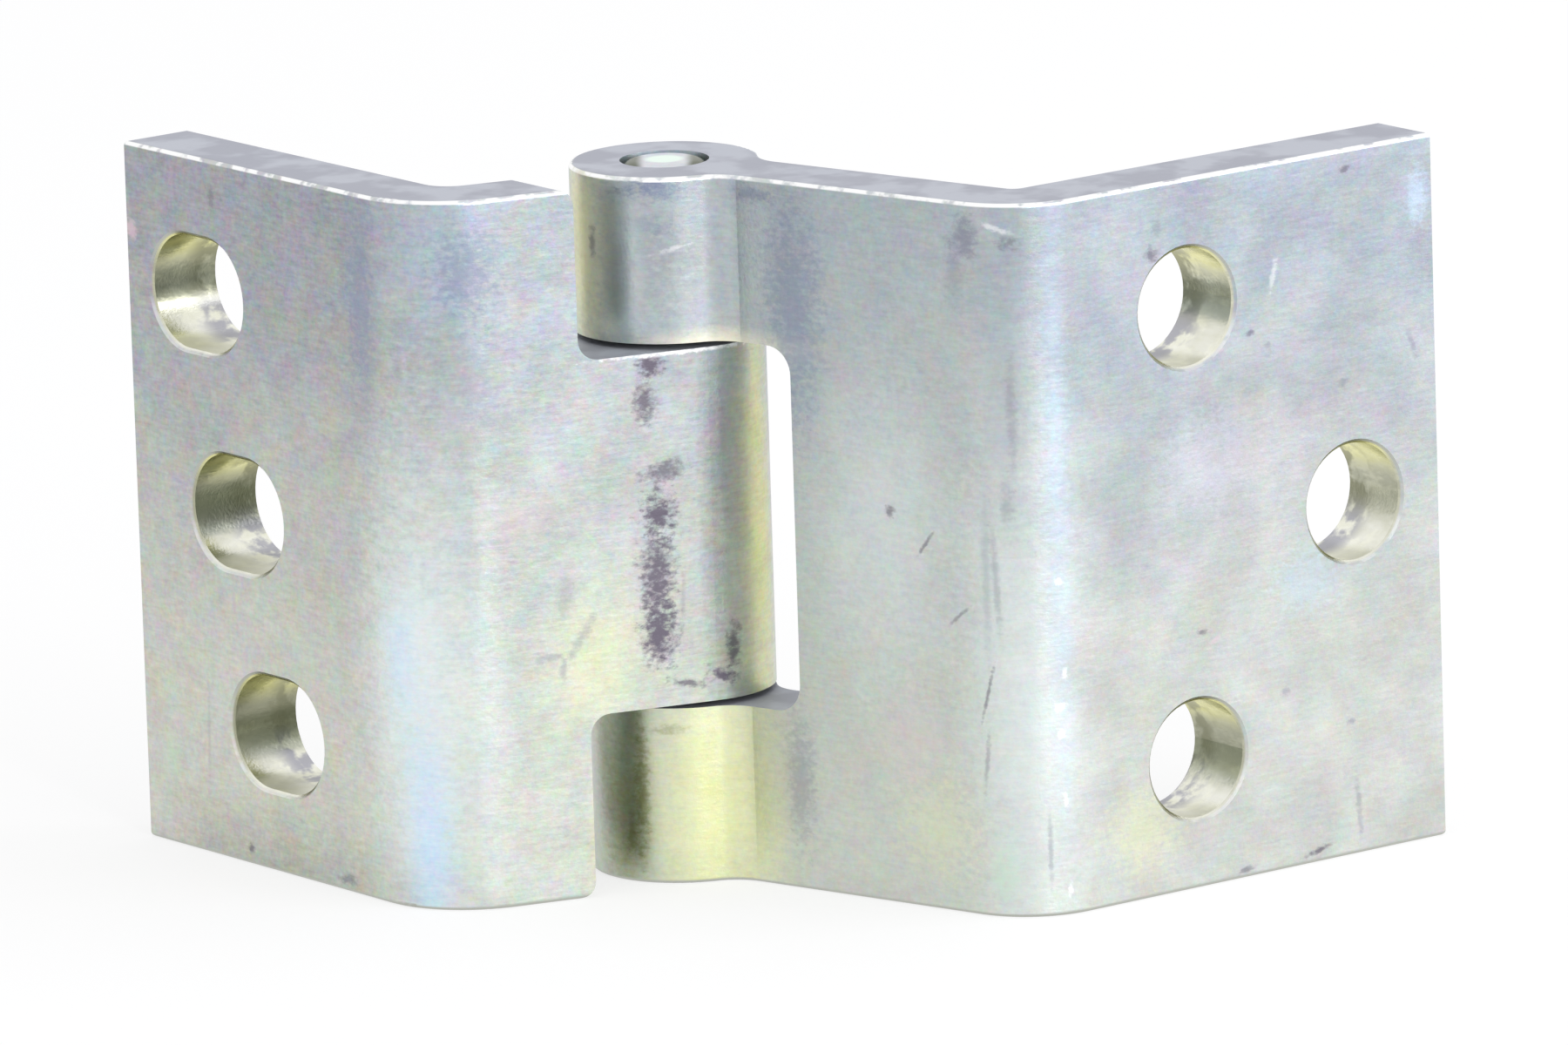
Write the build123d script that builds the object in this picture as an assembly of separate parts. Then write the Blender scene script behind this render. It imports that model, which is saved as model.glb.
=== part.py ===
from build123d import *
import os
from math import cos, radians, sin, tan

# Tailgate hinge: two bent leaves sawn from extruded steel section, and the plain pin that joins them.
# Millimetres. Z is the pin's axis, and the origin is on it at the foot, where the hinge stands.
# The drilled flange runs along X, and the slotted flange stands square to it.

# Both leaves
leaf_height = 50.8
plate = 5.6
bend_angle = 75.0
flange_angle = 90.0
barrel_d = 13.5
edge_round = 0.35
rim_chamfer = 0.3

# Pin and knuckles
pin_d = 6.35
pin_end_round = 1.1
press_bite = 0.01
running_gap = 0.05
middle_knuckle = 25.4
knuckle_raise = 0.4
knuckle_gap = 0.4
touch = 0.01

# Slotted leaf: web in line with the front of the barrel, three slots staggered along the flange
slotted_web = 21.6
slotted_flange = 34.6
slotted_bend = 2.0
slotted_shoulder = 2.5
cut_back_clearance = 2.95
cut_back_corner = 1.5
slotted_web_corner = 1.2
slot_width = 8.2
slot_length = 10.8
slot_from_end = 12.0
slot_stagger = 3.9
slot_pitch = 15.4

# Drilled leaf: web about in line with the pin, two holes above each other and one further out
drilled_front = 2.4
drilled_web = 32.5
drilled_flange = 37.2
drilled_bend = 0.7
drilled_shoulder = 3.0
notch_clearance = 5.65
notch_corner = 2.0
hole_d = 8.4
outer_hole_reach = 14.9
outer_hole_pitch = 32.3
middle_hole_from_end = 7.6

# Worked out from the sizes above
barrel_r = barrel_d / 2
mid_height = leaf_height / 2
knuckle_low = mid_height + knuckle_raise - middle_knuckle / 2
knuckle_high = knuckle_low + middle_knuckle
slotted_front = barrel_r
cut_back = barrel_r + cut_back_clearance
notch_reach = barrel_r + notch_clearance


# A leaf's own frame: pin axis on Z, web along X with its front face towards -Y, flange turned to +Y
def flange_direction():
    return Vector(cos(radians(bend_angle)), sin(radians(bend_angle)))


# Extruded section of a leaf: round eye, web and flange in one, with concave shoulders at the eye,
# and the outline's edges rounded at both ends
def leaf_blank(front, web, flange, inner_bend, shoulder):
    outer_corner = Vector(web, -front)
    along = flange_direction()
    across = Vector(-along.Y, along.X)
    start = Vector(0, plate / 2 - front)
    corner = outer_corner + Vector(-tan(radians(bend_angle / 2)), 1) * (plate / 2)
    end = outer_corner + along * flange + across * (plate / 2)
    strip = trace(FilletPolyline(start, corner, end, radius=inner_bend + plate / 2), plate)
    section = make_face((strip + Circle(barrel_r)).face().outer_wire())
    on_barrel = [v for v in section.vertices() if abs(Vector(v).length - barrel_r) < touch]
    necks = [v for v in on_barrel if v.X > touch]
    section = fillet(necks, shoulder)
    leaf = extrude(section, leaf_height)
    return fillet(leaf.edges().filter_by(Plane.XY), edge_round)


# Front face of a flange: X along the flange from the bend's outer corner, Y up the pin's axis
def flange_face(front, web):
    along = flange_direction()
    return Plane(origin=(web, -front, 0), x_dir=along, z_dir=(along.Y, -along.X, 0))


# Window through the web around the barrel, milled parallel to the flange
def barrel_window(front, outline):
    front_face = Plane(origin=(0, -front, 0), x_dir=(1, 0, 0), z_dir=(0, -1, 0))
    return extrude(front_face * outline, 2 * barrel_d, dir=flange_direction(), both=True)


# Outline of the notch for the middle knuckle, its two far corners rounded
def notch_outline():
    low = knuckle_low - knuckle_gap
    high = knuckle_high + knuckle_gap
    near = -(barrel_d + notch_corner)
    middle = Pos((near + notch_reach) / 2, (low + high) / 2)
    return middle * RectangleRounded(notch_reach - near, high - low, notch_corner)


# Outline of a cut-back from beyond the leaf's end to the middle knuckle. It rounds the web's corner too.
def cut_back_outline(end, knuckle_end):
    beyond = 2 * end - knuckle_end
    past_corner = cut_back + 2 * slotted_web_corner
    outline = Polyline(
        (-barrel_d, knuckle_end), (cut_back, knuckle_end), (cut_back, end),
        (past_corner, end), (past_corner, beyond), (-barrel_d, beyond), close=True)
    face = make_face(outline)
    for level, corner in ((knuckle_end, cut_back_corner), (end, slotted_web_corner)):
        turn = face.vertices().sort_by_distance((cut_back, level))[0]
        face = fillet(turn, corner)
    return face


# Hole or slot through a flange, its front rim chamfered
def rimmed_hole(face, place, outline):
    tool = extrude(face * place * outline, -plate)
    rim = face * place * offset(outline, rim_chamfer)
    return tool + extrude(rim, -rim_chamfer, taper=45)


# Left leaf: middle knuckle, short web cut back from the end knuckles, slotted flange
def make_slotted_leaf():
    leaf = leaf_blank(slotted_front, slotted_web, slotted_flange, slotted_bend, slotted_shoulder)
    leaf -= barrel_window(slotted_front, cut_back_outline(0, knuckle_low))
    leaf -= barrel_window(slotted_front, cut_back_outline(leaf_height, knuckle_high))
    leaf -= extrude(Circle(pin_d / 2 + running_gap), leaf_height)
    face = flange_face(slotted_front, slotted_web)
    for row in (-1, 0, 1):
        reach = slotted_flange - slot_from_end + row * slot_stagger
        place = Pos(reach, mid_height + row * slot_pitch)
        leaf -= rimmed_hole(face, place, SlotOverall(slot_length, slot_width))
    return Rot(0, 0, flange_angle + bend_angle) * mirror(leaf, Plane.XZ)


# Right leaf: two end knuckles, longer web notched for the middle knuckle, drilled flange
def make_drilled_leaf():
    leaf = leaf_blank(drilled_front, drilled_web, drilled_flange, drilled_bend, drilled_shoulder)
    leaf -= barrel_window(drilled_front, notch_outline())
    leaf -= extrude(Circle(pin_d / 2 - press_bite), leaf_height)
    face = flange_face(drilled_front, drilled_web)
    middle = Pos(drilled_flange - middle_hole_from_end, mid_height)
    leaf -= rimmed_hole(face, middle, Circle(hole_d / 2))
    for row in (-1, 1):
        place = Pos(outer_hole_reach, mid_height + row * outer_hole_pitch / 2)
        leaf -= rimmed_hole(face, place, Circle(hole_d / 2))
    return Rot(0, 0, -bend_angle) * leaf


# Headless pin with rounded ends, flush with the end knuckles
def make_hinge_pin():
    pin = extrude(Circle(pin_d / 2), leaf_height)
    return fillet(pin.edges().filter_by(GeomType.CIRCLE), pin_end_round)


os.makedirs("parts", exist_ok=True)
export_step(make_slotted_leaf(), "parts/slotted_leaf.step")
export_step(make_drilled_leaf(), "parts/drilled_leaf.step")
export_step(make_hinge_pin(), "parts/hinge_pin.step")
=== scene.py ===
from math import cos, pi, radians, sin

import bpy
from mathutils import Matrix, Vector


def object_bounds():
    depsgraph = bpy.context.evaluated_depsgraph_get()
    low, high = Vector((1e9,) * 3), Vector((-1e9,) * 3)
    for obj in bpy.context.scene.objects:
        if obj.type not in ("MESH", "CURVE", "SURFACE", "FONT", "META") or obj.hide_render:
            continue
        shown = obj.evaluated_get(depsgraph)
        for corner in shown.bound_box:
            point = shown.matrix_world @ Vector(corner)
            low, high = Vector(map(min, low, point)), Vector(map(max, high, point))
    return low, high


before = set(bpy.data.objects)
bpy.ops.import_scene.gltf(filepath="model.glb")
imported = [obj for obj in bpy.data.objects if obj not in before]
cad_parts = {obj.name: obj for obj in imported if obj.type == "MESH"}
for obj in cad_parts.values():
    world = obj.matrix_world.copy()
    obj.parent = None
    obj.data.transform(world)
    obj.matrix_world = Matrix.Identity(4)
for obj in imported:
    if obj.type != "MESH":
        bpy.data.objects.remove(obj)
cad_low, cad_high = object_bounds()

bl_info = {
    "name": "Tailgate hinge finish",
    "version": (1, 0, 0),
    "blender": (4, 5, 0),
    "location": "3D View > Sidebar > Hinge",
    "description": "Zinc plate on the leaves and pin of a tailgate hinge, and a plain stage",
    "category": "Material",
}

# Millimetres, in which tones and marks are placed
MM = 0.001
LEAF_HEIGHT = (cad_high.z - cad_low.z) / MM

# How far a mark reaches in from its panel's front, so that none shows on the back
MARK_DEPTH = 3.2

# Roughness of the plate, and by how much the bores are smoother and the upper ends rougher
SMOOTHEST, ROUGHEST = 0.30, 0.40
BORE_SMOOTHER = 0.12
TOP_ROUGHER = 0.30

# Fine relief of the plate: strength, and depth in metres on the leaves and on the pin
RELIEF_STRENGTH = 0.35
LEAF_RELIEF = 0.00003
PIN_RELIEF = 0.00002

# Camera of the photograph: the top of the pin appears at a known point of the picture
PICTURE = Vector((1800, 1200))
PIN_TOP_SEEN = Vector((762.57, 182.36))
PIXELS_PER_MM = 16.341
SENSOR = 36.0

# Nearest and furthest that the camera sees, as parts of its distance from the hinge
NEAREST_PART = 1 / 20
FURTHEST_PART = 50

# World and floor: the floor glows only for the eye and for reflections
WHITE = (1.0, 1.0, 1.0, 1.0)
WORLD_STRENGTH = 0.8
FLOOR_SIDES = 64
FLOOR_COLOUR = (0.85, 0.85, 0.86, 1.0)
FLOOR_GLOW = 1.12
FLOOR_GLOW_SHARE = 0.62

# Lamps: name, degrees round from the camera, degrees up, width and height in metres, and watts
LAMP_DISTANCE = 1.2
LAMPS = (
    ("strip", 22, 12, 0.12, 0.9, 2.7),
    ("window", 50, 20, 0.7, 0.9, 4.0),
    ("far_window", 85, 15, 0.7, 0.9, 4.0),
)


# Screen values from 0 to 255, as a picture editor shows them, to Blender's linear colour
def shade(red, green, blue):
    linear = []
    for value in (red, green, blue):
        part = value / 255
        linear.append(part / 12.92 if part <= 0.04045 else ((part + 0.055) / 1.055) ** 2.4)
    return (*linear, 1.0)


class Sheet:
    """A node tree being filled. All methods but feed add a node and give back it or what comes out."""

    def __init__(self, tree):
        self.tree = tree

    def add(self, kind, inputs=None, **settings):
        node = self.tree.nodes.new(kind)
        for name, value in settings.items():
            setattr(node, name, value)
        for socket, value in (inputs or {}).items():
            self.feed(node.inputs[socket], value)
        return node

    def feed(self, socket, value):
        if isinstance(value, bpy.types.NodeSocket):
            self.tree.links.new(value, socket)
        else:
            socket.default_value = value

    def math(self, operation, first, second=0.0, clamp=False):
        terms = {0: first, 1: second}
        return self.add("ShaderNodeMath", terms, operation=operation, use_clamp=clamp).outputs[0]

    def vector(self, operation, first, second=(0, 0, 0), output="Vector"):
        node = self.add("ShaderNodeVectorMath", {0: first, 1: second}, operation=operation)
        return node.outputs[output]

    def ease(self, value, low, high, start=0.0, stop=1.0):
        limits = {"Value": value, "From Min": low, "From Max": high, "To Min": start, "To Max": stop}
        node = self.add("ShaderNodeMapRange", limits, interpolation_type="SMOOTHSTEP")
        return node.outputs["Result"]

    def mix(self, share, first, second, blend="MIX"):
        node = self.add("ShaderNodeMix", data_type="RGBA", blend_type=blend)
        for socket, value in ((0, share), (6, first), (7, second)):
            self.feed(node.inputs[socket], value)
        return node.outputs[2]

    def noise(self, place, scale, detail=2.0, output="Fac", **more):
        inputs = {"Vector": place, "Scale": scale, "Detail": detail, **more}
        return self.add("ShaderNodeTexNoise", inputs).outputs[output]

    def stretch(self, place, scale):
        return self.add("ShaderNodeMapping", {"Vector": place, "Scale": scale}).outputs["Vector"]

    def parts(self, vector):
        return self.add("ShaderNodeSeparateXYZ", {0: vector}).outputs

    def group(self, made, inputs):
        node = self.add("ShaderNodeGroup", node_tree=made)
        for socket, value in inputs.items():
            self.feed(node.inputs[socket], value)
        return node.outputs


# New node group with named inputs and outputs, each with a default
def new_group(name, inputs, outputs):
    tree = bpy.data.node_groups.new(name, "ShaderNodeTree")
    for socket, (kind, default) in inputs.items():
        made = tree.interface.new_socket(socket, in_out="INPUT", socket_type="NodeSocket" + kind)
        made.default_value = default
    for socket, kind in outputs.items():
        tree.interface.new_socket(socket, in_out="OUTPUT", socket_type="NodeSocket" + kind)
    sheet = Sheet(tree)
    return sheet, sheet.add("NodeGroupInput").outputs, sheet.add("NodeGroupOutput").inputs


# Empty material, its node tree and the input for its surface
def new_material(name):
    material = bpy.data.materials.new(name)
    material.use_nodes = True
    material.node_tree.nodes.clear()
    sheet = Sheet(material.node_tree)
    end = sheet.add("ShaderNodeOutputMaterial").inputs["Surface"]
    return material, sheet, end


# Tones of the marks on the plate, some of them painted light
SMUDGE = shade(114, 108, 121)
STAIN = shade(140, 142, 158)
BLUE_STAIN = shade(134, 144, 170)
# Bare metal of scratches and wear, also used as painted glints and edge highlights
BARE_WEAR_AND_GLINT = shade(255, 255, 255)
# Light blue: painted highlight on the bends, and a tint in broad patches on the drilled flange
ICE_BLUE_TINT_AND_HIGHLIGHT = shade(206, 230, 255)
STRAW = shade(234, 237, 180)
# Painted reflection along the lower edge of the upper knuckle
CREAM_REFLECTION = shade(244, 240, 216)
OLIVE = shade(214, 214, 154)
BRIGHT_OLIVE = shade(232, 230, 190)
DARK_OLIVE = shade(128, 130, 84)
# Painted highlight on the bends and painted light on the drilled web and the upper knuckle
PALE_PAINTED_LIGHT = shade(231, 240, 240)
DULL = shade(176, 178, 168)
GREY = shade(150, 153, 148)
ROSE = shade(232, 200, 214)
LEAF_GREEN = shade(196, 226, 204)

# Tones in the bores, on their upper, lower and side walls, near the foot, and in patches: yellow film
# with a painted reflection of the lit floor above, a near white painted reflection below, and painted
# dark reflection and painted shade in the patches
FILM_ABOVE_WITH_PAINTED_REFLECTION = shade(236, 233, 162)
PAINTED_REFLECTION_BELOW = shade(240, 240, 226)
FILM_BESIDE = shade(126, 128, 104)
FILM_NEAR_FOOT = shade(130, 132, 110)
PAINTED_DARK_REFLECTION = shade(138, 138, 112)
PAINTED_SHADE_BELOW = shade(150, 150, 168)

# Tones of the ends of the leaves and of the pin. The tone of the faces that turn down is painted shade,
# and the pin's bright middle and dark patches are a painted highlight and painted shadow.
TOP_END = shade(176, 178, 188)
TOP_END_LIGHT = shade(192, 195, 204)
DOWNWARD_PAINTED_SHADE = shade(186, 188, 180)
# Painted shadow and painted highlight on the pin's ends
PIN_PAINTED_SHADOW = shade(112, 116, 102)
PIN_PAINTED_HIGHLIGHT = shade(236, 252, 242)

# Marks on the front of a panel, in millimetres and degrees: along the panel from the pin's axis,
# up from the foot, half length, half height, tilt, strength and tone
SLOTTED_WEB_MARKS = (
    (4.4, 37.6, 1.4, 1.2, 0, 1.00, SMUDGE), (4.8, 35.0, 1.2, 1.9, 0, 0.90, SMUDGE),
    (3.5, 30.0, 2.2, 1.1, -8, 0.80, SMUDGE), (4.0, 27.0, 1.8, 2.2, 0, 1.00, SMUDGE),
    (4.3, 22.6, 1.8, 5.0, 3, 0.95, SMUDGE), (4.3, 18.6, 1.9, 3.4, 0, 1.00, SMUDGE),
    (2.4, 20.6, 0.3, 3.2, 4, 0.30, STAIN), (-0.6, 14.9, 1.7, 0.7, 20, 1.00, SMUDGE),
    (2.2, 14.6, 1.8, 0.4, 10, 0.80, SMUDGE), (-1.4, 16.9, 0.8, 2.2, 0, 0.85, SMUDGE),
    (11.3, 22.0, 0.9, 2.6, 8, 0.30, STAIN), (10.2, 18.8, 0.6, 2.6, 34, 0.42, STAIN),
    (12.6, 17.6, 1.7, 0.4, -4, 0.45, STAIN), (11.6, 16.6, 0.4, 1.3, 0, 0.45, STAIN),
    (14.3, 27.5, 4.0, 3.0, 0, 0.25, ROSE), (18.0, 45.8, 3.8, 4.6, 0, 0.62, BLUE_STAIN),
    # The long thin bare mark along the top edge of the middle knuckle is a painted highlight
    (17.4, 37.5, 2.4, 6.0, 0, 0.35, BLUE_STAIN), (2.0, 38.4, 8.0, 0.25, 0, 1.00, BARE_WEAR_AND_GLINT),
)
SLOTTED_FLANGE_MARKS = (
    (33.2, 44.5, 1.3, 1.0, 0, 0.55, ROSE), (23.3, 48.2, 0.5, 0.9, 0, 0.50, SMUDGE),
    (9.8, 34.2, 2.4, 2.0, 0, 0.25, OLIVE), (21.3, 1.2, 0.6, 0.5, 0, 0.75, SMUDGE),
    (9.6, 0.9, 1.4, 0.5, 0, 0.55, SMUDGE), (5.8, 43.0, 2.2, 10.0, 0, 0.58, BLUE_STAIN),
    (30.5, 6.5, 1.6, 2.2, 0, 0.30, LEAF_GREEN), (26.0, 9.0, 0.3, 6.0, 2, 0.22, STAIN),
    (14.0, 17.0, 2.5, 2.5, 0, 0.25, LEAF_GREEN), (35.0, 48.5, 2.6, 1.5, 0, 0.35, STAIN),
)
DRILLED_WEB_MARKS = (
    (28.2, 48.6, 1.0, 1.8, 0, 0.60, STAIN), (31.0, 48.0, 1.0, 0.8, 0, 0.55, SMUDGE),
    (30.2, 49.0, 1.8, 0.3, -20, 0.50, BARE_WEAR_AND_GLINT), (20.8, 28.1, 0.6, 0.5, 0, 0.70, SMUDGE),
    (23.8, 26.1, 0.2, 1.6, -38, 0.65, SMUDGE), (26.6, 21.3, 0.2, 1.5, -50, 0.55, SMUDGE),
    (28.8, 16.0, 0.2, 2.6, -14, 0.65, SMUDGE), (28.9, 24.0, 0.5, 8.0, 0, 0.30, STAIN),
    (30.5, 29.5, 0.7, 2.4, 0, 0.45, STAIN), (29.6, 24.0, 0.40, 6.0, 3, 0.30, SMUDGE),
    (30.9, 36.0, 0.50, 6.0, 0, 0.30, SMUDGE), (28.6, 11.0, 0.3, 3.0, -6, 0.40, SMUDGE),
    (29.6, 3.0, 1.4, 3.0, 0, 0.50, LEAF_GREEN), (12.8, 42.0, 3.6, 12.0, 0, 0.56, BLUE_STAIN),
    (22.0, 12.0, 4.5, 5.0, 0, 0.20, ROSE), (12.2, 8.0, 1.8, 7.0, 0, 0.45, STAIN),
    (24.4, 6.0, 5.0, 5.0, 0, 0.25, STRAW), (30.6, 38.0, 1.8, 9.0, 0, 0.15, STAIN),
    (27.6, 48.2, 1.6, 2.2, 0, 0.60, STAIN), (27.0, 45.5, 1.2, 3.0, 0, 0.35, STAIN),
    (9.5, 49.6, 2.6, 0.9, 0, 0.60, BLUE_STAIN),
)
DRILLED_BARREL_MARKS = (
    (4.2, 49.9, 4.6, 1.1, 0, 0.90, BLUE_STAIN), (4.7, 45.8, 1.9, 0.3, 20, 0.80, BARE_WEAR_AND_GLINT),
    (5.3, 43.8, 1.1, 0.3, 25, 0.55, BARE_WEAR_AND_GLINT), (-1.5, 45.8, 0.5, 1.7, 0, 0.60, SMUDGE),
    (3.4, 47.4, 2.2, 0.9, -8, 0.40, BLUE_STAIN), (5.0, 44.0, 3.0, 6.0, 0, 0.38, STAIN),
    (1.3, 7.0, 0.8, 6.4, 0, 0.60, DARK_OLIVE), (3.4, 11.2, 1.6, 0.6, 0, 0.45, DARK_OLIVE),
    (0.4, 3.2, 0.7, 1.6, 0, 0.55, DARK_OLIVE),
)
DRILLED_FLANGE_MARKS = (
    (35.4, 49.3, 0.7, 0.4, 8, 0.70, SMUDGE), (18.4, 47.6, 0.6, 1.0, 0, 0.50, STAIN),
    (17.9, 45.8, 0.9, 0.7, -30, 0.70, SMUDGE), (26.6, 38.9, 0.6, 0.3, 10, 0.65, SMUDGE),
    (28.1, 37.8, 0.4, 0.4, 0, 0.45, STAIN), (34.9, 34.1, 0.6, 0.5, 0, 0.50, STAIN),
    (28.8, 42.8, 0.4, 1.8, -14, 0.35, BARE_WEAR_AND_GLINT), (42.0, 46.5, 1.4, 3.0, 0, 0.45, ICE_BLUE_TINT_AND_HIGHLIGHT),
    (41.3, 35.9, 0.4, 1.8, 20, 0.45, STAIN), (21.6, 18.3, 0.6, 0.3, 0, 0.65, SMUDGE),
    (22.7, 17.5, 1.0, 0.3, 18, 0.45, ROSE), (28.9, 12.8, 0.7, 0.5, 0, 0.45, STAIN),
    (34.9, 9.7, 0.5, 0.3, 0, 0.55, STAIN), (35.4, 3.6, 0.4, 3.0, 5, 0.45, STAIN),
    (31.7, 0.9, 1.6, 0.3, 12, 0.85, SMUDGE), (25.0, 0.6, 1.0, 0.3, 8, 0.60, SMUDGE),
    # The small bare marks about 9 mm along, in the bend, are painted glints
    (9.1, 23.9, 0.4, 0.35, 0, 1.00, BARE_WEAR_AND_GLINT), (9.4, 17.3, 0.3, 0.5, 0, 1.00, BARE_WEAR_AND_GLINT),
    (9.0, 14.9, 0.7, 0.35, 30, 1.00, BARE_WEAR_AND_GLINT), (9.0, 13.0, 0.35, 0.5, 0, 1.00, BARE_WEAR_AND_GLINT),
    (9.2, 8.3, 0.25, 0.6, 0, 0.90, BARE_WEAR_AND_GLINT), (9.4, 1.9, 0.25, 0.6, 0, 0.90, BARE_WEAR_AND_GLINT),
    (31.0, 20.5, 4.0, 3.5, 0, 0.30, ICE_BLUE_TINT_AND_HIGHLIGHT), (22.0, 30.0, 6.0, 5.0, 0, 0.20, ICE_BLUE_TINT_AND_HIGHLIGHT),
    (8.1, 5.0, 0.25, 4.0, 0, 0.45, STAIN), (16.0, 5.0, 5.0, 4.5, 0, 0.35, STRAW),
    (24.0, 30.0, 7.0, 6.0, 0, 0.20, ROSE),
)

# Each leaf's panels, the flange last: the turn about the pin that lays the panel along X, where its
# front then stands, and its marks
SLOTTED_PANELS = (
    (radians(-165), 6.75, SLOTTED_WEB_MARKS),
    (radians(-90), 22.61, SLOTTED_FLANGE_MARKS),
)
DRILLED_PANELS = (
    (radians(75), -2.4, DRILLED_WEB_MARKS),
    (radians(75), -6.75, DRILLED_BARREL_MARKS),
    (0.0, -32.01, DRILLED_FLANGE_MARKS),
)

# How far from the pin's axis a web's ground tone passes into its flange's
SLOTTED_BEND = (17.0, 25.0)
DRILLED_BEND = (27.0, 35.0)

# Broad tints and painted light: x and y of the centre and its height, radius, half height, strength and
# tone.
# The pale ones are painted highlights on the bends and painted light on the drilled web and upper
# knuckle, the ice blue ones on the bends are painted highlights too, and the cream one is a painted
# reflection along the upper knuckle's lower edge.
SLOTTED_TINTS_AND_HIGHLIGHTS = (
    # Painted highlights on the bend
    (-21.0, 1.8, 15.0, 7.5, 30.0, 0.90, PALE_PAINTED_LIGHT),
    (-21.8, 1.2, 3.5, 3.0, 15.0, 0.80, ICE_BLUE_TINT_AND_HIGHLIGHT),
    (-22.3, 3.0, 18.0, 2.6, 7.0, 0.50, ICE_BLUE_TINT_AND_HIGHLIGHT),
    (-20.5, 0.4, 47.0, 6.0, 10.0, 0.25, ICE_BLUE_TINT_AND_HIGHLIGHT),
    (-22.6, 17.0, 0.0, 22.0, 7.0, 0.80, DULL),
    (-10.6, -4.1, 17.5, 5.5, 8.0, 0.38, STRAW),
    (-9.5, -4.3, 4.0, 3.5, 8.0, 0.35, STRAW),
    (2.6, -6.2, 26.0, 3.6, 30.0, 0.85, OLIVE),
    (-1.6, -6.6, 26.0, 1.6, 30.0, 0.65, GREY),
)
DRILLED_TINTS_AND_HIGHLIGHTS = (
    # Painted highlights on the bend
    (7.2, -30.2, 14.0, 6.8, 34.0, 0.62, PALE_PAINTED_LIGHT),
    (9.2, -31.8, 30.0, 1.5, 34.0, 0.32, ICE_BLUE_TINT_AND_HIGHLIGHT),
    # Painted light on the drilled web and the upper knuckle
    (2.9, -19.9, 27.0, 9.0, 16.0, 0.40, PALE_PAINTED_LIGHT),
    (0.1, -9.8, 45.0, 3.0, 12.0, 0.30, PALE_PAINTED_LIGHT),
    (-6.3, -2.5, 44.0, 2.4, 14.0, 0.80, PALE_PAINTED_LIGHT),
    (-2.6, -6.4, 5.5, 7.0, 18.0, 0.85, STRAW),
    (0.6, -8.6, 6.0, 4.6, 16.0, 0.35, STRAW),
    # Painted reflection along the upper knuckle's lower edge
    (0.0, -7.0, 38.8, 10.0, 1.6, 0.85, CREAM_REFLECTION),
    (-6.6, 1.0, 46.0, 4.6, 14.0, 0.95, BRIGHT_OLIVE),
    (-6.4, -1.4, 5.0, 3.4, 12.0, 0.72, DARK_OLIVE),
)

# Bores through each flange: along it from the pin's axis, up, and half the straight run of a slot
SLOTTED_BORES = ((17.77, 10.0, 1.3), (21.67, 25.4, 1.3), (25.57, 40.8, 1.3))
DRILLED_BORES = ((20.99, 9.25, 0.0), (20.99, 41.55, 0.0), (35.69, 25.4, 0.0))
SLOT_RADIUS = 4.1
HOLE_RADIUS = 4.2


# Soft-edged oval for dirt, wear, tints and scratches, and for painted highlights, glints and reflections.
# Its core is the part at full strength.
def mark_group():
    inputs = {
        "Place": ("Vector", (0, 0, 0)),
        "Centre": ("Vector", (0, 0, 0)),
        "Half size": ("Vector", (1, 1, 1)),
        "Rough": ("Float", 0.0),
        "Core": ("Float", 0.1),
    }
    sheet, given, result = new_group("Mark", inputs, {"Mask": "Float"})
    centred = sheet.vector("SUBTRACT", given["Place"], given["Centre"])
    across = sheet.vector("DIVIDE", centred, given["Half size"])
    reach = sheet.vector("LENGTH", across, output="Value")
    ragged = sheet.math("ADD", reach, given["Rough"])
    sheet.feed(result["Mask"], sheet.ease(ragged, 1.0, given["Core"]))
    return sheet.tree


# Inside of a round hole or slot: place runs along the flange, through it and up
def bore_group():
    inputs = {
        "Place": ("Vector", (0, 0, 0)),
        "Centre": ("Vector", (0, 0, 0)),
        "Half run": ("Float", 0.0),
        "Radius": ("Float", 4.0),
    }
    sheet, given, result = new_group("Bore", inputs, {"Mask": "Float"})
    off = sheet.parts(sheet.vector("SUBTRACT", given["Place"], given["Centre"]))
    past = sheet.math("SUBTRACT", sheet.math("ABSOLUTE", off["X"]), given["Half run"])
    past = sheet.math("MAXIMUM", past, 0.0)
    squares = sheet.math("ADD", sheet.math("POWER", past, 2.0), sheet.math("POWER", off["Z"], 2.0))
    beyond = sheet.math("SUBTRACT", sheet.math("SQRT", squares), given["Radius"])
    sheet.feed(result["Mask"], sheet.ease(beyond, 0.2, 0.06))
    return sheet.tree


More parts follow.
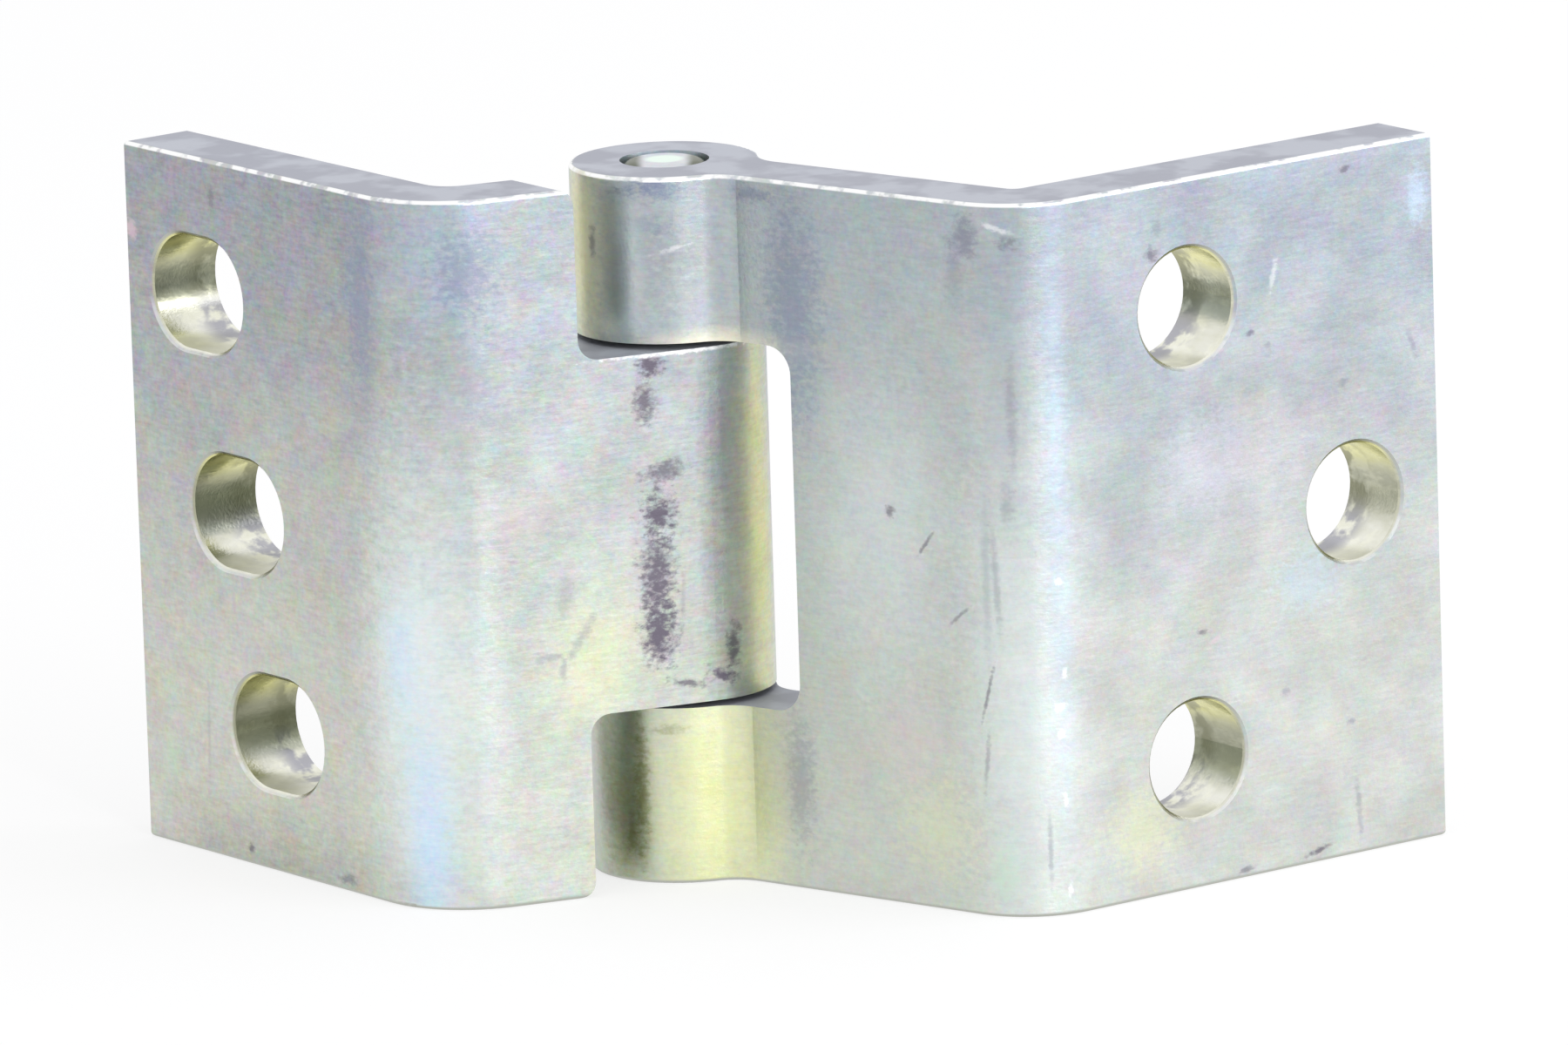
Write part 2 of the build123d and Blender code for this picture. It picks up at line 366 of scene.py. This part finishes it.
# Zinc plate: tone, mottled play of colour, fine grain and brushing, over a cloudy ground
def plate_group():
    inputs = {
        "Place": ("Vector", (0, 0, 0)),
        "Tone": ("Color", shade(190, 192, 192)),
        "Mottle": ("Float", 0.5),
        "Grain": ("Float", 0.5),
        "Brushing": ("Float", 0.5),
    }
    outputs = {"Colour": "Color", "Relief": "Float", "Roughness": "Float"}
    sheet, given, result = new_group("Zinc plate", inputs, outputs)
    place = given["Place"]
    cloud = sheet.noise(place, scale=0.16, detail=3.0)
    colour = sheet.mix(0.25, given["Tone"], cloud, "SOFT_LIGHT")
    hues = sheet.noise(place, scale=0.45, detail=4.0, output="Color", Roughness=0.75)
    colour = sheet.mix(given["Mottle"], colour, hues, "SOFT_LIGHT")
    fleck = sheet.noise(place, scale=2.4, detail=3.0, output="Color", Roughness=0.7)
    colour = sheet.mix(given["Grain"], colour, fleck, "SOFT_LIGHT")
    level = sheet.stretch(place, (0.7, 0.7, 3.6))
    brushed = sheet.noise(level, scale=1.0, detail=4.0, Roughness=0.65)
    colour = sheet.mix(given["Brushing"], colour, brushed, "SOFT_LIGHT")
    sheet.feed(result["Colour"], colour)
    grit = sheet.noise(place, scale=4.0, detail=3.0)
    sheet.feed(result["Relief"], sheet.math("ADD", grit, sheet.math("MULTIPLY", brushed, 0.8)))
    sheet.feed(result["Roughness"], sheet.ease(cloud, 0.3, 0.7, start=SMOOTHEST, stop=ROUGHEST))
    return sheet.tree


# Bare metal with a fine relief
def metal_shader(sheet, colour, roughness, relief, depth):
    shader = sheet.add("ShaderNodeBsdfPrincipled", {"Base Color": colour, "Roughness": roughness})
    shader.inputs["Metallic"].default_value = 1.0
    heights = {"Height": relief, "Strength": RELIEF_STRENGTH, "Distance": depth}
    sheet.feed(shader.inputs["Normal"], sheet.add("ShaderNodeBump", heights).outputs[0])
    return shader.outputs[0]


# Object coordinates in millimetres
def place_in_mm(sheet):
    return sheet.vector("MULTIPLY", sheet.add("ShaderNodeTexCoord").outputs["Object"], (1 / MM,) * 3)


# Ground tone: web and flange each change from top to foot, and one passes into the other at the bend.
# The change from top to foot is painted shade: darker and bluer at the top, lighter and warmer at the
# foot.
def ground_tone_with_painted_shade(sheet, place, given, bend_near, bend_far):
    height = sheet.math("DIVIDE", sheet.parts(place)["Z"], LEAF_HEIGHT)
    wander = sheet.math("MULTIPLY", sheet.noise(place, scale=0.07, detail=2.0), 0.3)
    rise = sheet.ease(sheet.math("ADD", height, wander), 0.3, 1.2)
    web = sheet.mix(rise, given.web_foot, given.web_top)
    flange = sheet.mix(rise, given.flange_foot, given.flange_top)
    level = sheet.vector("MULTIPLY", place, (1, 1, 0))
    out = sheet.vector("LENGTH", level, output="Value")
    return sheet.mix(sheet.ease(out, bend_near, bend_far), web, flange)


# Broad tints and painted highlights and reflections, which fade evenly from their centres
def add_tints_and_highlights(sheet, colour, place, rough, mark, tints_and_highlights):
    for x, y, up, radius, half_up, strength, tone in tints_and_highlights:
        inputs = {"Place": place, "Centre": (x, y, up), "Half size": (radius, radius, half_up),
                  "Rough": rough, "Core": 0.0}
        mask = sheet.group(mark, inputs)["Mask"]
        colour = sheet.mix(sheet.math("MULTIPLY", mask, strength), colour, tone)
    return colour


# Marks on one panel, which place lays along X. A tilted mark is turned about its own centre.
def add_marks(sheet, colour, place, rough, mark, front, marks):
    for along, up, half_along, half_up, tilt, strength, tone in marks:
        centre = (along, front, up)
        where = place
        if tilt:
            turn = {"Vector": place, "Center": centre, "Angle": radians(tilt)}
            where = sheet.add("ShaderNodeVectorRotate", turn, rotation_type="Y_AXIS").outputs[0]
        inputs = {"Place": where, "Centre": centre, "Half size": (half_along, MARK_DEPTH, half_up),
                  "Rough": rough}
        mask = sheet.group(mark, inputs)["Mask"]
        colour = sheet.mix(sheet.math("MULTIPLY", mask, strength), colour, tone)
    return colour


# Film inside the bores, with painted reflections: khaki with a painted reflection of the lit floor above,
# a near white painted reflection below, and streaked with grey-olive beside. It darkens towards the
# leaf's foot, and painted dark reflections and painted shade lie in patches further in from the front.
def bore_film_and_painted_reflections(sheet, place, tone, facing, depth):
    low = sheet.ease(sheet.parts(place)["Z"], 44, 8, stop=0.45)
    tone = sheet.mix(low, tone, FILM_NEAR_FOOT)
    film = sheet.mix(sheet.ease(facing, -0.2, -0.8), tone, FILM_ABOVE_WITH_PAINTED_REFLECTION)
    film = sheet.mix(sheet.ease(facing, 0.2, 0.8), film, PAINTED_REFLECTION_BELOW)
    level = sheet.stretch(place, (0.6, 0.6, 1.6))
    streaks = sheet.noise(level, scale=1.0, detail=4.0, Roughness=0.6)
    film = sheet.mix(0.8, film, streaks, "SOFT_LIGHT")
    # Painted dark reflection and painted shade, in patches
    dark_reflection = sheet.mix(sheet.ease(facing, 0.1, 0.7), PAINTED_DARK_REFLECTION, PAINTED_SHADE_BELOW)
    patches = sheet.ease(sheet.noise(place, scale=0.55, detail=4.0), 0.40, 0.54)
    share = sheet.math("MULTIPLY", patches, sheet.ease(depth, 2.4, 4.4, start=0.1, stop=0.75))
    film = sheet.mix(share, film, dark_reflection)
    beside = sheet.ease(sheet.math("ABSOLUTE", sheet.math("ADD", facing, 0.1)), 0.5, 0.1)
    share = sheet.math("MULTIPLY", beside, sheet.ease(streaks, 0.35, 0.6, stop=0.42))
    return sheet.mix(share, film, FILM_BESIDE)


# Upper and lower ends of a leaf. The rounded edges that face up carry a painted highlight in dashes, most
# at the top, and the faces that turn down carry painted shade.
def finish_edges_with_painted_light(sheet, colour, place, facing, top_face):
    patches = sheet.ease(sheet.noise(place, scale=0.25, detail=3.0), 0.42, 0.62)
    colour = sheet.mix(top_face, colour, sheet.mix(patches, TOP_END, TOP_END_LIGHT))
    dashes = sheet.ease(sheet.noise(place, scale=0.7, detail=3.0), 0.38, 0.52, start=0.35)
    height = sheet.parts(place)["Z"]
    rim_highlight = sheet.math("MULTIPLY", sheet.ease(facing, 0.08, 0.35), sheet.math("SUBTRACT", 1.0, top_face))
    at_top = sheet.ease(height, LEAF_HEIGHT - 2, LEAF_HEIGHT - 1, start=0.4)
    rim_highlight = sheet.math("MULTIPLY", rim_highlight, at_top)
    # Painted highlight along the rims, in dashes
    colour = sheet.mix(sheet.math("MULTIPLY", rim_highlight, dashes), colour, BARE_WEAR_AND_GLINT)
    # Faces that turn down get painted shade
    return sheet.mix(sheet.ease(facing, -0.12, -0.5), colour, DOWNWARD_PAINTED_SHADE)


# Mask of all the bores of a leaf, where place lays its flange along X
def bore_mask(sheet, place, radius, bores):
    made = bore_group()
    mask = 0.0
    for along, up, half_run in bores:
        inputs = {"Place": place, "Centre": (along, 0, up), "Half run": half_run, "Radius": radius}
        mask = sheet.math("MAXIMUM", mask, sheet.group(made, inputs)["Mask"])
    return mask


# Material of a leaf: ground tone with painted shade, tints and painted light, plate, marks on each panel,
# then its ends and its bores, which go through the last panel
def leaf_material(name, given, bend, panels, tints_and_highlights, radius, bores):
    material, sheet, end = new_material(name)
    place = place_in_mm(sheet)
    mark = mark_group()
    tone = ground_tone_with_painted_shade(sheet, place, given, *bend)
    level = sheet.stretch(place, (0.9, 0.9, 1.5))
    streaks = sheet.noise(level, scale=1.7, detail=5.0, Roughness=0.65)
    rough = sheet.math("MULTIPLY", sheet.math("SUBTRACT", streaks, 0.5), 2.2)
    tone = add_tints_and_highlights(sheet, tone, place, sheet.math("MULTIPLY", rough, 0.3), mark, tints_and_highlights)
    inputs = {"Place": place, "Tone": tone, "Mottle": given.mottle, "Grain": given.grain,
              "Brushing": given.brushing}
    plate = sheet.group(plate_group(), inputs)
    colour = plate["Colour"]
    for turn, front, marks in panels:
        turned = sheet.add("ShaderNodeVectorRotate", {"Vector": place, "Angle": turn},
                           rotation_type="Z_AXIS").outputs[0]
        colour = add_marks(sheet, colour, turned, rough, mark, front, marks)
    facing = sheet.parts(sheet.add("ShaderNodeTexCoord").outputs["Normal"])["Z"]
    top_face = sheet.ease(facing, 0.85, 0.98)
    colour = finish_edges_with_painted_light(sheet, colour, place, facing, top_face)
    inside = bore_mask(sheet, turned, radius, bores)
    depth = sheet.math("SUBTRACT", abs(front), sheet.math("ABSOLUTE", sheet.parts(turned)["Y"]))
    colour = sheet.mix(inside, colour, bore_film_and_painted_reflections(sheet, place, given.bore, facing, depth))
    smoother = sheet.math("MULTIPLY", inside, BORE_SMOOTHER)
    roughness = sheet.math("SUBTRACT", plate["Roughness"], smoother)
    roughness = sheet.math("ADD", roughness, sheet.math("MULTIPLY", top_face, TOP_ROUGHER))
    sheet.feed(end, metal_shader(sheet, colour, roughness, plate["Relief"], LEAF_RELIEF))
    return material


# Pin: its ends carry a painted highlight in the middle and a painted shadow on two sides
def pin_material(name, given):
    material, sheet, end = new_material(name)
    place = place_in_mm(sheet)
    inputs = {"Place": place, "Tone": given.tone, "Mottle": given.mottle, "Grain": given.grain}
    plate = sheet.group(plate_group(), inputs)
    aside = sheet.vector("DOT_PRODUCT", place, (0.79, -0.61, 0), output="Value")
    shadow_side = sheet.ease(sheet.math("ABSOLUTE", aside), 1.3, 2.1)
    colour = sheet.mix(shadow_side, plate["Colour"], PIN_PAINTED_SHADOW)
    out = sheet.vector("LENGTH", sheet.vector("MULTIPLY", place, (1, 1, 0)), output="Value")
    colour = sheet.mix(sheet.ease(out, 1.0, 1.6), PIN_PAINTED_HIGHLIGHT, colour)
    sheet.feed(end, metal_shader(sheet, colour, plate["Roughness"], plate["Relief"], PIN_RELIEF))
    return material


def tone_property(name, description, colour):
    return bpy.props.FloatVectorProperty(name=name, description=description, subtype="COLOR",
                                         size=4, min=0, max=1, default=colour)


def strength_property(name, description, strength):
    return bpy.props.FloatProperty(name=name, description=description, subtype="FACTOR",
                                   min=0, max=1, default=strength)


class SlottedLeafPlating(bpy.types.PropertyGroup):
    """Zinc plate on the slotted leaf"""
    # The upper tones are darker and bluer than the lower ones as painted shade
    web_top: tone_property("Web, upper", "Plate at the top of the web", shade(177, 183, 190))
    web_foot: tone_property("Web, lower", "Plate at the foot of the web", shade(201, 206, 198))
    flange_top: tone_property("Flange, upper", "Plate at the top of the flange", shade(161, 164, 171))
    flange_foot: tone_property("Flange, lower", "Plate at the foot of the flange", shade(202, 204, 194))
    bore: tone_property("Bores", "Film on the walls of the slots", shade(198, 198, 174))
    mottle: strength_property("Mottle", "Strength of the play of colour", 0.60)
    grain: strength_property("Grain", "Strength of the fine grain", 0.55)
    brushing: strength_property("Brushing", "Strength of the short level streaks", 0.50)


class DrilledLeafPlating(bpy.types.PropertyGroup):
    """Zinc plate on the drilled leaf"""
    # The upper tones are darker and bluer than the lower ones as painted shade
    web_top: tone_property("Web, upper", "Plate at the top of the web", shade(175, 183, 188))
    web_foot: tone_property("Web, lower", "Plate at the foot of the web", shade(199, 204, 195))
    flange_top: tone_property("Flange, upper", "Plate at the top of the flange", shade(170, 178, 188))
    flange_foot: tone_property("Flange, lower", "Plate at the foot of the flange", shade(200, 203, 199))
    bore: tone_property("Bores", "Film on the walls of the holes", shade(226, 226, 206))
    mottle: strength_property("Mottle", "Strength of the play of colour", 0.38)
    grain: strength_property("Grain", "Strength of the fine grain", 0.45)
    brushing: strength_property("Brushing", "Strength of the short level streaks", 0.35)


class PinPlating(bpy.types.PropertyGroup):
    """Zinc plate on the pin"""
    tone: tone_property("Tone", "Plate on the pin", shade(214, 218, 224))
    mottle: strength_property("Mottle", "Strength of the play of colour", 0.50)
    grain: strength_property("Grain", "Strength of the fine grain", 0.40)


class HingeStage(bpy.types.PropertyGroup):
    """Camera, floor and lights"""
    azimuth: bpy.props.FloatProperty(
        name="Azimuth", description="Turn of the camera round the hinge, from looking along +Y",
        subtype="ANGLE", unit="ROTATION", default=radians(-37.41))
    elevation: bpy.props.FloatProperty(
        name="Elevation", description="Height of the camera above the horizon",
        subtype="ANGLE", unit="ROTATION", default=radians(12.34))
    roll: bpy.props.FloatProperty(
        name="Roll", description="Turn of the camera about its own line of sight",
        subtype="ANGLE", unit="ROTATION", default=radians(-1.8))
    distance: bpy.props.FloatProperty(
        name="Distance", description="From the camera to the top of the pin",
        subtype="DISTANCE", unit="LENGTH", default=1.1618)
    floor_radius: bpy.props.FloatProperty(
        name="Floor radius", description="Radius of the round floor",
        subtype="DISTANCE", unit="LENGTH", default=6.0)


# Share of a ray that sees the background: from the camera, or by reflection or through glass
def seen_directly(sheet):
    path = sheet.add("ShaderNodeLightPath").outputs
    either = sheet.math("ADD", path["Is Camera Ray"], path["Is Glossy Ray"])
    return sheet.math("ADD", either, path["Is Transmission Ray"], clamp=True)


# White floor that glows for the eye and for reflections, and still takes a faint shadow
def floor_material():
    material, sheet, end = new_material("pale_floor")
    matt = sheet.add("ShaderNodeBsdfDiffuse", {"Color": FLOOR_COLOUR}).outputs[0]
    glow = sheet.add("ShaderNodeEmission", {"Color": WHITE, "Strength": FLOOR_GLOW}).outputs[0]
    share = sheet.math("MULTIPLY", seen_directly(sheet), FLOOR_GLOW_SHARE)
    mixed = sheet.add("ShaderNodeMixShader", {0: share, 1: matt, 2: glow}).outputs[0]
    sheet.feed(end, mixed)
    return material


# Round floor under the hinge
def make_floor(radius):
    turns = [2 * pi * side / FLOOR_SIDES for side in range(FLOOR_SIDES)]
    corners = [(radius * cos(turn), radius * sin(turn), cad_low.z) for turn in turns]
    mesh = bpy.data.meshes.new("floor")
    mesh.from_pydata(corners, [], [tuple(range(FLOOR_SIDES))])
    mesh.materials.append(floor_material())
    made = bpy.data.objects.new("floor", mesh)
    bpy.context.scene.collection.objects.link(made)


# White background for the eye and for reflections, and an even, softer light on the hinge
def white_world():
    world = bpy.data.worlds.new("white_studio")
    world.use_nodes = True
    world.node_tree.nodes.clear()
    sheet = Sheet(world.node_tree)
    end = sheet.add("ShaderNodeOutputWorld").inputs["Surface"]
    level = sheet.add("ShaderNodeMapRange", {"Value": seen_directly(sheet), "To Min": WORLD_STRENGTH})
    glow = sheet.add("ShaderNodeBackground", {"Color": WHITE, "Strength": level.outputs[0]})
    sheet.feed(end, glow.outputs[0])
    return world


# From the hinge towards a camera or lamp at this turn and height
def back_vector(azimuth, elevation):
    return Vector((sin(azimuth) * cos(elevation), -cos(azimuth) * cos(elevation), sin(elevation)))


# Rectangular lamp aimed at the hinge, placed by its turn round the hinge and its height
def soft_lamp(name, azimuth, elevation, width, height, power):
    lamp = bpy.data.lights.new(name, "AREA")
    lamp.shape = "RECTANGLE"
    lamp.size, lamp.size_y = width, height
    lamp.energy = power
    made = bpy.data.objects.new(name, lamp)
    bpy.context.scene.collection.objects.link(made)
    target = (cad_low + cad_high) / 2
    away = back_vector(azimuth, elevation)
    made.location = target + away * LAMP_DISTANCE
    made.rotation_euler = (-away).to_track_quat("-Z", "Y").to_euler()


# Camera of the photograph, turned about its own line of sight by its roll
def set_camera(given):
    back = back_vector(given.azimuth, given.elevation)
    level = Vector((cos(given.azimuth), sin(given.azimuth), 0))
    turned = Matrix.Rotation(given.roll, 3, back)
    right = turned @ level
    up = turned @ back.cross(level)
    aside = (PIN_TOP_SEEN - PICTURE / 2) / PIXELS_PER_MM * MM
    pin_top = Vector((0, 0, cad_high.z))
    data = bpy.data.cameras.new("photo_camera")
    data.sensor_width = SENSOR
    data.lens = given.distance / MM * PIXELS_PER_MM * SENSOR / PICTURE.x
    data.clip_start = given.distance * NEAREST_PART
    data.clip_end = given.distance * FURTHEST_PART
    made = bpy.data.objects.new("photo_camera", data)
    bpy.context.scene.collection.objects.link(made)
    spot = pin_top + back * given.distance - right * aside.x + up * aside.y
    turn = Matrix((right, up, back)).transposed().to_4x4()
    made.matrix_world = Matrix.Translation(spot) @ turn
    bpy.context.scene.camera = made


class TAILGATE_HINGE_OT_slotted_leaf(bpy.types.Operator):
    """Plate the slotted leaf"""
    bl_idname = "tailgate_hinge.slotted_leaf"
    bl_label = "Finish slotted leaf"

    def execute(self, context):
        given = context.scene.hinge_slotted_leaf
        made = leaf_material("slotted_leaf_zinc", given, SLOTTED_BEND, SLOTTED_PANELS, SLOTTED_TINTS_AND_HIGHLIGHTS,
                             SLOT_RADIUS, SLOTTED_BORES)
        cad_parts["slotted_leaf"].material_slots[0].material = made
        return {"FINISHED"}


class TAILGATE_HINGE_OT_drilled_leaf(bpy.types.Operator):
    """Plate the drilled leaf"""
    bl_idname = "tailgate_hinge.drilled_leaf"
    bl_label = "Finish drilled leaf"

    def execute(self, context):
        given = context.scene.hinge_drilled_leaf
        made = leaf_material("drilled_leaf_zinc", given, DRILLED_BEND, DRILLED_PANELS, DRILLED_TINTS_AND_HIGHLIGHTS,
                             HOLE_RADIUS, DRILLED_BORES)
        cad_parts["drilled_leaf"].material_slots[0].material = made
        return {"FINISHED"}


class TAILGATE_HINGE_OT_pin(bpy.types.Operator):
    """Plate the pin"""
    bl_idname = "tailgate_hinge.pin"
    bl_label = "Finish pin"

    def execute(self, context):
        made = pin_material("pin_zinc", context.scene.hinge_pin_plating)
        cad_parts["hinge_pin"].material_slots[0].material = made
        return {"FINISHED"}


class TAILGATE_HINGE_OT_stage(bpy.types.Operator):
    """Set the floor, the lamps and the photograph's camera"""
    bl_idname = "tailgate_hinge.stage"
    bl_label = "Set stage"

    def execute(self, context):
        given = context.scene.hinge_stage
        set_camera(given)
        make_floor(given.floor_radius)
        context.scene.world = white_world()
        context.scene.view_settings.view_transform = "Standard"
        for name, aside, up, width, height, power in LAMPS:
            soft_lamp(name, given.azimuth + radians(aside), radians(up), width, height, power)
        return {"FINISHED"}


class VIEW3D_PT_tailgate_hinge(bpy.types.Panel):
    """Finish of the tailgate hinge"""
    bl_label = "Tailgate hinge"
    bl_idname = "VIEW3D_PT_tailgate_hinge"
    bl_space_type = "VIEW_3D"
    bl_region_type = "UI"
    bl_category = "Hinge"

    def draw(self, context):
        scene = context.scene
        for operator, group in STEPS:
            box = self.layout.box()
            box.operator(operator)
            given = getattr(scene, group)
            for name in given.__annotations__:
                box.prop(given, name)


STEPS = (
    ("tailgate_hinge.slotted_leaf", "hinge_slotted_leaf"),
    ("tailgate_hinge.drilled_leaf", "hinge_drilled_leaf"),
    ("tailgate_hinge.pin", "hinge_pin_plating"),
    ("tailgate_hinge.stage", "hinge_stage"),
)

CLASSES = (
    SlottedLeafPlating,
    DrilledLeafPlating,
    PinPlating,
    HingeStage,
    TAILGATE_HINGE_OT_slotted_leaf,
    TAILGATE_HINGE_OT_drilled_leaf,
    TAILGATE_HINGE_OT_pin,
    TAILGATE_HINGE_OT_stage,
    VIEW3D_PT_tailgate_hinge,
)


def register():
    for made in CLASSES:
        bpy.utils.register_class(made)
    bpy.types.Scene.hinge_slotted_leaf = bpy.props.PointerProperty(type=SlottedLeafPlating)
    bpy.types.Scene.hinge_drilled_leaf = bpy.props.PointerProperty(type=DrilledLeafPlating)
    bpy.types.Scene.hinge_pin_plating = bpy.props.PointerProperty(type=PinPlating)
    bpy.types.Scene.hinge_stage = bpy.props.PointerProperty(type=HingeStage)


def unregister():
    del bpy.types.Scene.hinge_stage
    del bpy.types.Scene.hinge_pin_plating
    del bpy.types.Scene.hinge_drilled_leaf
    del bpy.types.Scene.hinge_slotted_leaf
    for made in reversed(CLASSES):
        bpy.utils.unregister_class(made)


def main():
    register()
    bpy.ops.tailgate_hinge.slotted_leaf()
    bpy.ops.tailgate_hinge.drilled_leaf()
    bpy.ops.tailgate_hinge.pin()
    bpy.ops.tailgate_hinge.stage()


if __name__ == "__main__":
    main()
